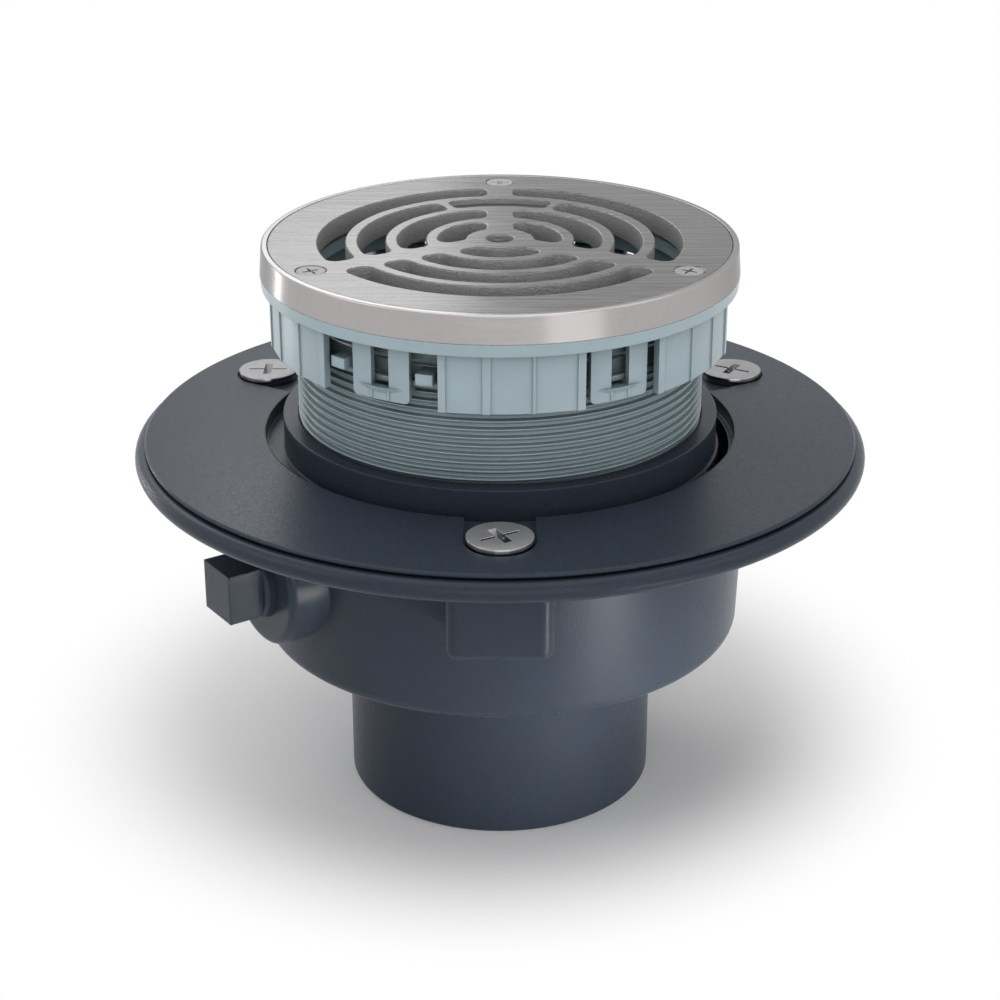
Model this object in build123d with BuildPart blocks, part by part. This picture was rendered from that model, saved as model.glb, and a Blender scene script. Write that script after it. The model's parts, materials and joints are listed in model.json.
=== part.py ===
from build123d import *
from math import cos, hypot, radians, sin, tan
import os

# Floor drain with a screw-adjusted round strainer.
# Millimetres, +Z up, origin on the drain's axis in the plane of the outlet's lower end.

# Outlet spigot, sized for a 3 inch hubless coupling
outlet_r = 42.55
outlet_wall = 4.45
outlet_edge = 0.8

# Sump
sump_floor_z = 47.6
sump_r = 66.1
sump_draft = 2.0
sump_wall = 5.0
sump_corner = 3.5
floor_fall = 2.0

# Body flange with its rounded rim
flange_top_z = 97.0
flange_t = 4.5
flange_taper_r = 84.0
rim_r = 96.25
rim_z = 99.5
rim_bead = 2.7

# Clamp collar: a plate with a threaded hub in its middle
plate_top_z = 103.92
plate_r = 96.2
plate_lip = 0.9
plate_inset = 2.9
plate_chamfer = 0.45
groove_r = 63.8
groove_floor_z = 100.2
hub_r = 58.77
hub_top_z = 109.08
hub_bottom_z = 88.0
seep_r = (59.6, 62.3)
seep_span = 50.0
mouth_r = 62.6

# Clamp screws, their pockets in the plate and their bosses under the flange
screw_azimuths = {"front": -90.0, "right": 30.0, "left": 150.0}
clamp_circle_r = 77.3
clamp_thread_r = 3.9
clamp_hole_gap = 0.4
clamp_depth = 20.0
clamp_head_r = 8.4
clamp_head_t = 2.5
clamp_head_edge = 0.3
clamp_recess = (11.34, 1.5, 1.5)
pocket_depth = 1.0
pocket_gap = 0.5
boss_w = 26.6
boss_reach = 85.5
boss_length = 25.0
boss_h = 17.5
boss_corner = 3.3
boss_edge = 2.4

# Side tapping for a trap primer, closed by a square-headed plug
primer_azimuth = 214.05
primer_z = 76.5
primer_boss_r = 17.5
primer_face_r = 75.7
primer_boss_edge = 2.0
plug_thread_r = 9.5
plug_thread_len = 12.0
plug_neck = 3.0
plug_square = 13.5
plug_square_len = 9.35
plug_edge = 0.8
thread_gap = 0.05

# Threaded shank
thread_r = 54.5
running_gap = 0.1
shank_wall = 3.5
shank_bottom_z = 81.0
shank_top_z = 139.6
ledge_r = 57.0
ledge_bottom_z = 134.65
ledge_t = 1.4
lug_r = 60.4
lug_h = 3.0
lug_lift = 0.3
lug_span = 4.5
lug_offset = 12.05

# Strainer head: flange, skirt panels, snap tabs
head_flange_top_z = 148.95
head_flange_t = 3.15
head_flange_r = 63.2
head_mouth_r = 49.6
sleeve_r = 54.5
sleeve_wall = 2.0
sleeve_bottom_z = 140.7
skirt_r = 61.0
skirt_wall = 1.6
skirt_bottom_z = 130.3
panel_span = 34.3
wide_gap_span = 31.4
rib_proud = 0.4
rib_bands = ((0.0, 1.7), (10.3, 12.1), (21.8, 22.4), (32.4, 34.3))
support_rib_span = 2.0
tab_r = 59.3
tab_wall = 1.6
tab_span = 15.9
tab_bottom_z = 130.5
tab_corner = 1.4
window_span = 5.0
window_bottom_z = 134.0
lip_r = 19.7
lip_turn = 20.0
lip_proud = 0.8
lip_h = 1.6
lip_root = 1.4
tab_rib_offset = 2.4
tab_rib_span = 0.5
tab_rib_proud = 0.3
hook_reach = 2.0
hook_h = 2.0
snap_gap = 0.15

# Frame ring and grate
ring_r = 63.5
ring_top_r = 62.95
ring_top_z = 156.4
ring_bevel = 0.3
pocket_r = 61.35
seat_t = 1.9
seat_r = 50.6
seam_gap = 0.2
slot_pitch_r = (12.7, 23.3, 33.9, 44.5)
slot_w = 7.4
slot_corner = 2.7
slot_edge = 0.35
grate_drop = 0.1
bridge_w = 7.3
bridge_azimuths = (90.0, 210.0, 330.0)
centre_hole_r = 3.6
pad_ring = 2
pad_azimuth = 90.0
pad_half_span = 23.5
pad_slot_half_span = 27.0
pad_depth = 1.4
pad_corner = 2.4

# Grate screws and the threaded inserts that hold them
grate_screws = {"back": 90.0, "left": 210.0, "right": 330.0}
grate_circle_r = 55.2
grate_head_r = 3.95
grate_head_t = 2.1
grate_recess = (5.135, 0.9, 1.1)
grate_thread_r = 2.0
grate_hole_gap = 0.3
head_sink = 0.1
tip_gap = 1.0
insert_r = 3.0
insert_len = 6.4
grate_boss_r = 4.4
grate_boss_tip_r = 3.8
grate_boss_z = 140.2

# Azimuths that several pieces share
wide_gap_azimuths = (-120.0, 0.0, 120.0)
tab_azimuths = (-120.0, -60.0, 0.0, 60.0, 120.0, 180.0)

# Heights and radii that follow from the values above
flange_bottom_z = flange_top_z - flange_t
sump_top_r = sump_r + (flange_bottom_z - sump_floor_z) * tan(radians(sump_draft))
bore_r = outlet_r - outlet_wall
pocket_floor_z = plate_top_z - pocket_depth
clamp_tip_z = pocket_floor_z - clamp_depth
shank_bore_r = thread_r - shank_wall
ledge_top_z = ledge_bottom_z + ledge_t
head_flange_bottom_z = head_flange_top_z - head_flange_t
seat_top_z = head_flange_top_z + seat_t
grate_top_z = ring_top_z - grate_drop
insert_tip_z = head_flange_top_z - insert_len


def radial_plane(azimuth, centre=(0, 0, 0)):
    """Upright plane through a point: local x points outwards, local y upwards."""
    a = radians(azimuth)
    return Plane(origin=centre, x_dir=(cos(a), sin(a), 0), z_dir=(sin(a), -cos(a), 0))


def outward_plane(azimuth, distance, height):
    """Plane across a radial axis: its normal points outwards, local y upwards."""
    a = radians(azimuth)
    origin = (distance * cos(a), distance * sin(a), height)
    return Plane(origin=origin, x_dir=(-sin(a), cos(a), 0), z_dir=(cos(a), sin(a), 0))


def spot(azimuth, radius, height):
    """Level plane standing on a point of a pitch circle, turned to face outwards."""
    a = radians(azimuth)
    origin = (radius * cos(a), radius * sin(a), height)
    return Plane(origin=origin, x_dir=(cos(a), sin(a), 0), z_dir=(0, 0, 1))


def arc_block(r_in, r_out, z_low, z_high, start, span, mode=Mode.ADD):
    """Curved block between two radii, two heights and two azimuths."""
    with BuildSketch(radial_plane(start)) as profile:
        with Locations(((r_in + r_out) / 2, (z_low + z_high) / 2)):
            Rectangle(r_out - r_in, z_high - z_low)
    revolve(profile.sketch, axis=Axis.Z, revolution_arc=span, mode=mode)


def turned(points, mode=Mode.ADD):
    """Body of revolution about the axis from a closed list of (radius, height) points."""
    with BuildSketch(Plane.XZ) as profile:
        with BuildLine():
            Polyline(*points, close=True)
        make_face()
    revolve(profile.sketch, axis=Axis.Z, mode=mode)


def cross_recess(plane, length, width, depth):
    """Cross-shaped driver recess cut down from a level plane."""
    with BuildSketch(plane) as cross:
        Rectangle(length, width)
        Rectangle(width, length)
    extrude(cross.sketch, amount=-depth, mode=Mode.SUBTRACT)


# Drain body: outlet, sump and flange in one casting
with BuildPart() as drain_body:
    for azimuth in screw_azimuths.values():
        with BuildSketch(spot(azimuth, 0, flange_top_z)):
            with Locations((boss_reach - boss_length / 2, 0)):
                Rectangle(boss_length, boss_w)
        extrude(amount=-boss_h - flange_t)
    outer_corners = drain_body.edges().filter_by(Axis.Z).filter_by(
        lambda e: hypot(e.center().X, e.center().Y) > boss_reach
    )
    fillet(outer_corners, boss_corner)
    lower_edges = drain_body.edges().group_by(Axis.Z)[0].filter_by(
        lambda e: hypot(e.center().X, e.center().Y) > sump_r
    )
    fillet(lower_edges, boss_edge)
    with BuildSketch(outward_plane(primer_azimuth, primer_face_r, primer_z)):
        Circle(primer_boss_r)
    extrude(amount=sump_r - sump_wall / 2 - primer_face_r)
    primer_edges = drain_body.edges().filter_by(GeomType.CIRCLE).filter_by(
        lambda e: abs(e.radius - primer_boss_r) < 0.01
    )
    fillet(primer_edges.sort_by(lambda e: hypot(e.center().X, e.center().Y))[-1], primer_boss_edge)
    with BuildSketch(Plane.XZ):
        with BuildLine():
            Polyline(
                (bore_r, 0),
                (outlet_r, 0),
                (outlet_r, sump_floor_z),
                (sump_r, sump_floor_z),
                (sump_top_r, flange_bottom_z),
                (flange_taper_r, flange_bottom_z),
                (rim_r, flange_top_z),
                (bore_r, flange_top_z),
                close=True,
            )
        make_face()
        with Locations((rim_r, rim_z)):
            Circle(rim_bead)
    revolve(axis=Axis.Z)
    sump_corner_edge = drain_body.edges().filter_by(GeomType.CIRCLE).filter_by(
        lambda e: abs(e.radius - sump_r) < 0.01 and abs(e.center().Z - sump_floor_z) < 0.01
    )
    fillet(sump_corner_edge, sump_corner)
    spigot_edge = drain_body.edges().filter_by(GeomType.CIRCLE).filter_by(
        lambda e: abs(e.radius - outlet_r) < 0.01 and abs(e.center().Z) < 0.01
    )
    fillet(spigot_edge, outlet_edge)
    turned(
        [
            (0, sump_floor_z + sump_wall),
            (bore_r, sump_floor_z + sump_wall),
            (sump_r - sump_wall, sump_floor_z + sump_wall + floor_fall),
            (mouth_r, flange_bottom_z - sump_wall),
            (mouth_r, flange_top_z + 1),
            (0, flange_top_z + 1),
        ],
        mode=Mode.SUBTRACT,
    )
    with BuildSketch(outward_plane(primer_azimuth, primer_face_r, primer_z)):
        Circle(plug_thread_r + thread_gap)
    extrude(amount=-(primer_face_r - sump_r + 2 * sump_wall), mode=Mode.SUBTRACT)
    for azimuth in screw_azimuths.values():
        with BuildSketch(spot(azimuth, clamp_circle_r, flange_top_z)):
            Circle(clamp_thread_r + thread_gap)
        extrude(amount=clamp_tip_z - flange_top_z - 1, mode=Mode.SUBTRACT)
drain_body.part.label = "drain_body"
export_step(drain_body.part, "parts/drain_body.step")


# Clamp collar: plate, groove and threaded hub in one casting
with BuildPart() as clamp_collar:
    turned(
        [
            (thread_r + running_gap, hub_bottom_z),
            (hub_r, hub_bottom_z),
            (hub_r, flange_top_z),
            (plate_r - plate_inset, flange_top_z),
            (plate_r - plate_inset, plate_top_z - plate_lip),
            (plate_r, plate_top_z - plate_lip),
            (plate_r, plate_top_z - plate_chamfer),
            (plate_r - plate_chamfer, plate_top_z),
            (groove_r, plate_top_z),
            (groove_r, groove_floor_z),
            (hub_r, groove_floor_z),
            (hub_r, hub_top_z),
            (thread_r + running_gap, hub_top_z),
        ]
    )
    for azimuth in screw_azimuths.values():
        with BuildSketch(spot(azimuth, 0, pocket_floor_z)):
            with Locations((clamp_circle_r, 0)):
                Circle(clamp_head_r + pocket_gap)
            with Locations(((clamp_circle_r + groove_r) / 2, 0)):
                Rectangle(clamp_circle_r - groove_r + 2, 2 * (clamp_head_r + pocket_gap))
        extrude(amount=pocket_depth + 1, mode=Mode.SUBTRACT)
        with BuildSketch(spot(azimuth, clamp_circle_r, pocket_floor_z)):
            Circle(clamp_thread_r + clamp_hole_gap)
        extrude(amount=flange_top_z - pocket_floor_z - 1, mode=Mode.SUBTRACT)
    for azimuth in wide_gap_azimuths:
        arc_block(
            seep_r[0],
            seep_r[1],
            flange_top_z - 1,
            groove_floor_z + 1,
            azimuth - seep_span / 2,
            seep_span,
            mode=Mode.SUBTRACT,
        )
clamp_collar.part.label = "clamp_collar"
export_step(clamp_collar.part, "parts/clamp_collar.step")


# Clamp screws: flat heads with a cross recess
for side, azimuth in screw_azimuths.items():
    with BuildPart() as clamp_screw:
        with BuildSketch(spot(azimuth, clamp_circle_r, pocket_floor_z)):
            Circle(clamp_head_r)
        extrude(amount=clamp_head_t)
        top_edge = clamp_screw.edges().group_by(Axis.Z)[-1]
        fillet(top_edge, clamp_head_edge)
        with BuildSketch(spot(azimuth, clamp_circle_r, pocket_floor_z)):
            Circle(clamp_thread_r)
        extrude(amount=-clamp_depth)
        cross_recess(spot(azimuth, clamp_circle_r, pocket_floor_z + clamp_head_t), *clamp_recess)
    clamp_screw.part.label = "clamp_screw_" + side
    export_step(clamp_screw.part, "parts/clamp_screw_" + side + ".step")


# Plug of the trap primer tapping
with BuildPart() as primer_plug:
    with BuildSketch(outward_plane(primer_azimuth, primer_face_r - plug_thread_len, primer_z)):
        Circle(plug_thread_r)
    extrude(amount=plug_thread_len + plug_neck)
    outer_edge = primer_plug.edges().filter_by(GeomType.CIRCLE).sort_by(
        lambda e: e.center().X * cos(radians(primer_azimuth)) + e.center().Y * sin(radians(primer_azimuth))
    )[-1]
    chamfer(outer_edge, plug_edge)
    with BuildSketch(outward_plane(primer_azimuth, primer_face_r + plug_neck, primer_z)):
        Rectangle(plug_square, plug_square)
    extrude(amount=plug_square_len)
primer_plug.part.label = "primer_plug"
export_step(primer_plug.part, "parts/primer_plug.step")


# Threaded shank with the ledge that the head snaps over and the lugs that key it
with BuildPart() as threaded_shank:
    turned(
        [
            (shank_bore_r, shank_bottom_z),
            (thread_r - 1, shank_bottom_z),
            (thread_r, shank_bottom_z + 1),
            (thread_r, ledge_bottom_z),
            (ledge_r, ledge_bottom_z),
            (ledge_r, ledge_top_z),
            (thread_r, ledge_top_z),
            (thread_r, shank_top_z),
            (shank_bore_r, shank_top_z),
        ]
    )
    for wide in wide_gap_azimuths:
        for side in (-1, 1):
            arc_block(
                thread_r - 1,
                lug_r,
                ledge_top_z + lug_lift,
                ledge_top_z + lug_lift + lug_h,
                wide + side * lug_offset - lug_span / 2,
                lug_span,
            )
threaded_shank.part.label = "threaded_shank"
export_step(threaded_shank.part, "parts/threaded_shank.step")


# Strainer head: flange with a skirt of ribbed panels and six snap tabs
with BuildPart() as strainer_head:
    turned(
        [
            (head_mouth_r, head_flange_bottom_z),
            (sleeve_r - sleeve_wall, head_flange_bottom_z),
            (sleeve_r - sleeve_wall, sleeve_bottom_z),
            (sleeve_r, sleeve_bottom_z),
            (sleeve_r, head_flange_bottom_z),
            (head_flange_r, head_flange_bottom_z),
            (ring_r, head_flange_top_z),
            (head_mouth_r, head_flange_top_z),
        ]
    )
    for wide in wide_gap_azimuths:
        for side in (-1, 1):
            near = wide + side * wide_gap_span / 2
            start = near if side > 0 else near - panel_span
            arc_block(skirt_r - skirt_wall, skirt_r, skirt_bottom_z, head_flange_bottom_z, start, panel_span)
            for low, high in rib_bands:
                rib_start = start + low if side > 0 else start + panel_span - high
                arc_block(
                    skirt_r - skirt_wall / 2,
                    skirt_r + rib_proud,
                    skirt_bottom_z,
                    head_flange_bottom_z,
                    rib_start,
                    high - low,
                )
            arc_block(
                thread_r + running_gap,
                skirt_r - skirt_wall / 2,
                ledge_top_z,
                head_flange_bottom_z,
                start + panel_span / 2 - support_rib_span / 2,
                support_rib_span,
            )
    for tab_azimuth in tab_azimuths:
        arc_block(
            tab_r - tab_wall,
            tab_r,
            tab_bottom_z,
            head_flange_bottom_z,
            tab_azimuth - tab_span / 2,
            tab_span,
        )
    tab_corners = strainer_head.edges().filter_by(GeomType.LINE).filter_by(
        lambda e: abs(e.center().Z - tab_bottom_z) < 0.01 and abs(e.length - tab_wall) < 0.01
    )
    fillet(tab_corners, tab_corner)
    for tab_azimuth in tab_azimuths:
        arc_block(
            tab_r - 2 * tab_wall,
            tab_r + 1,
            window_bottom_z,
            head_flange_bottom_z,
            tab_azimuth - window_span / 2,
            window_span,
            mode=Mode.SUBTRACT,
        )
        lip_centre = spot(tab_azimuth, tab_r + lip_proud - lip_r, 0).origin
        with BuildSketch(radial_plane(tab_azimuth - lip_turn, lip_centre)):
            with BuildLine():
                Polyline(
                    (lip_r - lip_root, window_bottom_z),
                    (lip_r, window_bottom_z),
                    (lip_r - lip_proud, window_bottom_z - lip_h),
                    (lip_r - lip_root, window_bottom_z - lip_h),
                    close=True,
                )
            make_face()
        revolve(axis=Axis(lip_centre, (0, 0, 1)), revolution_arc=2 * lip_turn)
        for side in (-1, 1):
            arc_block(
                tab_r - tab_wall / 2,
                tab_r + tab_rib_proud,
                tab_bottom_z + tab_wall / 4,
                window_bottom_z - lip_h / 2,
                tab_azimuth + side * tab_rib_offset - tab_rib_span / 2,
                tab_rib_span,
            )
        arc_block(
            tab_r - tab_wall - hook_reach,
            tab_r - tab_wall / 2,
            ledge_bottom_z - snap_gap - hook_h,
            ledge_bottom_z - snap_gap,
            tab_azimuth + window_span / 2,
            (tab_span - window_span) / 2,
        )
    for azimuth in grate_screws.values():
        with BuildSketch(radial_plane(azimuth)):
            with BuildLine():
                Polyline(
                    (grate_circle_r, grate_boss_z),
                    (grate_circle_r + grate_boss_tip_r, grate_boss_z),
                    (grate_circle_r + grate_boss_r, head_flange_bottom_z),
                    (grate_circle_r, head_flange_bottom_z),
                    close=True,
                )
            make_face()
        boss_axis = Axis(spot(azimuth, grate_circle_r, 0).origin, (0, 0, 1))
        revolve(axis=boss_axis)
        with BuildSketch(spot(azimuth, grate_circle_r, head_flange_top_z)):
            Circle(insert_r)
        extrude(amount=-insert_len, mode=Mode.SUBTRACT)
strainer_head.part.label = "strainer_head"
export_step(strainer_head.part, "parts/strainer_head.step")


# Frame ring: tapered rim with the seat that carries the grate
with BuildPart() as frame_ring:
    turned(
        [
            (seat_r, head_flange_top_z),
            (ring_r, head_flange_top_z),
            (ring_top_r, ring_top_z - ring_bevel),
            (ring_top_r - ring_bevel, ring_top_z),
            (pocket_r, ring_top_z),
            (pocket_r, seat_top_z),
            (seat_r, seat_top_z),
        ]
    )
    for azimuth in grate_screws.values():
        with BuildSketch(spot(azimuth, grate_circle_r, seat_top_z)):
            Circle(grate_thread_r + grate_hole_gap)
        extrude(amount=-seat_t, mode=Mode.SUBTRACT)
frame_ring.part.label = "frame_ring"
export_step(frame_ring.part, "parts/frame_ring.step")


def slot_ring(pitch_r, gaps):
    """Ring of slots: an annulus parted by level bars or by a wedge at some azimuths."""
    with BuildSketch(Plane.XY.offset(grate_top_z)) as ring:
        Circle(pitch_r + slot_w / 2)
        Circle(pitch_r - slot_w / 2, mode=Mode.SUBTRACT)
        for azimuth, half_span in gaps:
            if half_span:
                reach = 2 * pitch_r
                points = [
                    (0, 0),
                    (reach * cos(radians(azimuth - half_span)), reach * sin(radians(azimuth - half_span))),
                    (reach * cos(radians(azimuth)), reach * sin(radians(azimuth))),
                    (reach * cos(radians(azimuth + half_span)), reach * sin(radians(azimuth + half_span))),
                ]
                with BuildLine():
                    Polyline(*points, close=True)
                make_face(mode=Mode.SUBTRACT)
            else:
                with Locations(Location((0, 0), azimuth)):
                    Rectangle(2 * pitch_r, bridge_w, align=(Align.MIN, Align.CENTER), mode=Mode.SUBTRACT)
        fillet(ring.vertices(), slot_corner)
    return ring.sketch


# Strainer grate: disc with four rings of slots and a blind pad
with BuildPart() as strainer_grate:
    with BuildSketch(Plane.XY.offset(seat_top_z)):
        Circle(pocket_r - seam_gap)
    extrude(amount=grate_top_z - seat_top_z)
    for index, pitch_r in enumerate(slot_pitch_r):
        gaps = []
        for azimuth in bridge_azimuths:
            wedge = index == pad_ring and azimuth == pad_azimuth
            gaps.append((azimuth, pad_slot_half_span if wedge else 0))
        extrude(slot_ring(pitch_r, gaps), amount=seat_top_z - grate_top_z, mode=Mode.SUBTRACT)
    with BuildSketch(Plane.XY.offset(grate_top_z)):
        Circle(centre_hole_r)
    extrude(amount=seat_top_z - grate_top_z, mode=Mode.SUBTRACT)
    top_rims = strainer_grate.faces().sort_by(Axis.Z)[-1].inner_wires().edges()
    fillet(top_rims, slot_edge)
    pad_pitch_r = slot_pitch_r[pad_ring]
    with BuildSketch(Plane.XY.offset(grate_top_z)) as pad:
        with BuildLine():
            r_low = pad_pitch_r - slot_w / 2
            r_high = pad_pitch_r + slot_w / 2
            CenterArc((0, 0), r_low, pad_azimuth - pad_half_span, 2 * pad_half_span)
            CenterArc((0, 0), r_high, pad_azimuth - pad_half_span, 2 * pad_half_span)
            for end in (pad_azimuth - pad_half_span, pad_azimuth + pad_half_span):
                a = radians(end)
                Line((r_low * cos(a), r_low * sin(a)), (r_high * cos(a), r_high * sin(a)))
        make_face()
        fillet(pad.vertices(), pad_corner)
    extrude(amount=-pad_depth, mode=Mode.SUBTRACT)
    for azimuth in grate_screws.values():
        with Locations(spot(azimuth, grate_circle_r, grate_top_z).location):
            CounterSinkHole(grate_thread_r + grate_hole_gap, grate_head_r + seam_gap)
strainer_grate.part.label = "strainer_grate"
export_step(strainer_grate.part, "parts/strainer_grate.step")


# Grate screws and the inserts in the head that they thread into
for side, azimuth in grate_screws.items():
    head_top_z = grate_top_z - head_sink
    with BuildPart() as grate_screw:
        with BuildSketch(radial_plane(azimuth)):
            with BuildLine():
                Polyline(
                    (grate_circle_r, insert_tip_z + tip_gap),
                    (grate_circle_r + grate_thread_r, insert_tip_z + tip_gap),
                    (grate_circle_r + grate_thread_r, head_top_z - grate_head_t),
                    (grate_circle_r + grate_head_r, head_top_z),
                    (grate_circle_r, head_top_z),
                    close=True,
                )
            make_face()
        screw_axis = Axis(spot(azimuth, grate_circle_r, 0).origin, (0, 0, 1))
        revolve(axis=screw_axis)
        cross_recess(spot(azimuth, grate_circle_r, head_top_z), *grate_recess)
    grate_screw.part.label = "grate_screw_" + side
    export_step(grate_screw.part, "parts/grate_screw_" + side + ".step")
    with BuildPart() as thread_insert:
        with BuildSketch(spot(azimuth, grate_circle_r, head_flange_top_z)):
            Circle(insert_r)
            Circle(grate_thread_r + thread_gap, mode=Mode.SUBTRACT)
        extrude(amount=-insert_len)
    thread_insert.part.label = "thread_insert_" + side
    export_step(thread_insert.part, "parts/thread_insert_" + side + ".step")
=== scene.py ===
"""Floor drain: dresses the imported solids, cuts the shank's thread, and sets up the studio."""

import json
import math

import bpy
from bpy.props import FloatProperty, FloatVectorProperty, IntProperty, PointerProperty
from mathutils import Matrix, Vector


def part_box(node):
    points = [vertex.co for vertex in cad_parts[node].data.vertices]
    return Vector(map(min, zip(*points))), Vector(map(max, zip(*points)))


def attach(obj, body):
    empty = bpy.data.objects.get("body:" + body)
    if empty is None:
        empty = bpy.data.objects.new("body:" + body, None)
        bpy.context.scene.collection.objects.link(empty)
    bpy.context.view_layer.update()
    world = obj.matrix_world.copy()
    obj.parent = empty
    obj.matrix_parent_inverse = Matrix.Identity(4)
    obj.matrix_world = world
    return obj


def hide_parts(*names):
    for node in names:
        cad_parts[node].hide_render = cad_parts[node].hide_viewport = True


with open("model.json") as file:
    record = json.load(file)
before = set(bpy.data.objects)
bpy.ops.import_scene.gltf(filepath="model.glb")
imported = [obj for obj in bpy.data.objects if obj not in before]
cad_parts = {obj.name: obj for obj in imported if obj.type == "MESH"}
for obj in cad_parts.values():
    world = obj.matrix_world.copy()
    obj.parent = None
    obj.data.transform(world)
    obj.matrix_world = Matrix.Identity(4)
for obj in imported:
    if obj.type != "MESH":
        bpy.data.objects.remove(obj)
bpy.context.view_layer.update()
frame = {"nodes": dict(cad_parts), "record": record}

bl_info = {
    "name": "Floor drain",
    "version": (1, 0, 0),
    "blender": (4, 5, 0),
    "location": "View3D > Sidebar > Floor drain",
    "description": "Builds the detail, finishes and studio of a floor drain",
    "category": "Add Mesh",
}

MM = 0.001

# Shares of the thread's pitch at which its flanks start and end
THREAD_FLANKS = (0.25, 0.70, 0.80, 0.97)

# How far the thread and the wall above it reach into the ledge that joins them, in metres
THREAD_INTO_LEDGE = 0.3 * MM
WALL_INTO_LEDGE = 0.5 * MM

# Bevels on the rims, in metres
LEDGE_EDGE = 0.15 * MM
WALL_EDGE = 0.2 * MM
LUG_EDGE = 0.3 * MM
CLAMP_HEAD_EDGE = 0.35 * MM
CLAMP_TIP_EDGE = 0.3 * MM
GRATE_HEAD_EDGE = (0.15 * MM, 0.12 * MM)
GRATE_TIP_EDGE = 0.3 * MM

# Length, width and depth of a screw's slot and of the wing across it, in metres
CLAMP_SLOT = (11 * MM, 0.9 * MM, 1.1 * MM)
CLAMP_WING = (8.6 * MM, 2.3 * MM, 2.1 * MM)
GRATE_SLOT = (5.4 * MM, 0.7 * MM, 0.8 * MM)
GRATE_WING = (4.6 * MM, 1.3 * MM, 1.3 * MM)

# Width of a slot's and a wing's foot, as a share of its width at half depth
SLOT_FOOT = 0.9
WING_FOOT = 0.6

# How far each screw is turned, in degrees; the clamp screws follow the photo
CLAMP_SCREW_TURNS = {"front": 30.0, "right": 150.0, "left": 0.0}
GRATE_SCREW_TURNS = {"back": 0.0, "left": 120.0, "right": 60.0}

# Middles of the skirt's wide openings, where the shank's lugs show, in degrees
OPENING_CENTRES = (-120.0, 0.0, 120.0)

# How far below the grate's top its faces turn rough, in metres
ROUGH_BELOW = 0.6 * MM

# Where the floor's shadow is centred, and the radii in metres between which it fades to white
SHADOW_CENTRE = (-0.006, 0.035, 0.0)
SHADOW_RADII = (0.078, 0.142)
FLOOR_RADIUS = 3.0
FLOOR_COLOUR = (0.90, 0.90, 0.90, 1)

# Where the lamps aim, and where the card that lights the sump aims, in metres
DRAIN_AIM = (0.0, 0.0, 0.09)
SUMP_AIM = (0.03, -0.06, 0.045)

# Spread of a lamp that shines all ways, in degrees
WIDE = 180.0
WHITE = (1.0, 1.0, 1.0)

# Name, place and aim, width and height in metres, spread in degrees, power in watts, tint
LAMPS = (
    ("top_softbox", (0.0, 0.10, 1.25), DRAIN_AIM, (1.3, 1.3), WIDE, 6.0, WHITE),
    ("back_softbox", (-0.65, 0.85, 0.95), DRAIN_AIM, (0.6, 0.6), WIDE, 2.6, WHITE),
    ("front_softbox", (0.15, -1.15, 0.42), DRAIN_AIM, (1.0, 0.7), WIDE, 3.0, WHITE),
    ("left_softbox", (-0.95, -0.30, 0.70), DRAIN_AIM, (0.6, 0.6), WIDE, 1.8, WHITE),
    ("right_softbox", (0.95, -0.30, 0.70), DRAIN_AIM, (0.6, 0.6), WIDE, 1.5, (1.0, 0.99, 0.98)),
    ("grate_card", (-0.065, 0.25, 0.27), DRAIN_AIM, (0.11, 0.09), WIDE, 0.075, WHITE),
    ("left_strip", (-0.33, 0.19, 0.11), DRAIN_AIM, (0.022, 0.20), WIDE, 0.11, WHITE),
    ("sump_card", (0.140, -0.155, 0.020), SUMP_AIM, (0.09, 0.040), 50.0, 0.040, (1.0, 0.97, 0.95)),
    ("front_card", (0.24, -0.38, 0.06), DRAIN_AIM, (0.20, 0.12), WIDE, 0.050, (1.0, 0.97, 0.95)),
)


class ShankSizes(bpy.types.PropertyGroup):
    """Sizes of the threaded shank."""

    crest_radius: FloatProperty(
        name="Crest radius",
        description="Radius over the thread's crests",
        default=0.0545,
        unit="LENGTH",
    )
    thread_depth: FloatProperty(
        name="Thread depth",
        description="Radial depth of the thread",
        default=0.0012,
        unit="LENGTH",
    )
    pitch: FloatProperty(
        name="Pitch",
        description="Rise of the thread in one turn",
        default=0.00224,
        unit="LENGTH",
    )
    bore_radius: FloatProperty(
        name="Bore radius",
        description="Radius of the shank's bore",
        default=0.051,
        unit="LENGTH",
    )
    ledge_radius: FloatProperty(
        name="Ledge radius",
        description="Radius of the ledge that the snap tabs catch",
        default=0.057,
        unit="LENGTH",
    )
    ledge_bottom: FloatProperty(
        name="Ledge bottom",
        description="Height of the ledge's lower face",
        default=0.13465,
        unit="LENGTH",
    )
    ledge_thickness: FloatProperty(
        name="Ledge thickness",
        description="Thickness of the ledge",
        default=0.0014,
        unit="LENGTH",
    )
    lug_reach: FloatProperty(
        name="Lug reach",
        description="Radius at the lugs' outer ends",
        default=0.0604,
        unit="LENGTH",
    )
    lug_lift: FloatProperty(
        name="Lug lift",
        description="Height of a lug's lower face above the ledge",
        default=0.0003,
        unit="LENGTH",
    )
    lug_height: FloatProperty(
        name="Lug height",
        description="Height of a lug",
        default=0.003,
        unit="LENGTH",
    )
    lug_width: FloatProperty(
        name="Lug width",
        description="Width of a lug across its outer end",
        default=0.0046,
        unit="LENGTH",
    )
    lug_offset: FloatProperty(
        name="Lug offset",
        description="Angle from the middle of an opening to a lug",
        default=math.radians(12.05),
        subtype="ANGLE",
    )
    segments: IntProperty(
        name="Segments",
        description="Steps of the thread in one turn",
        default=144,
        min=24,
    )


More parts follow.
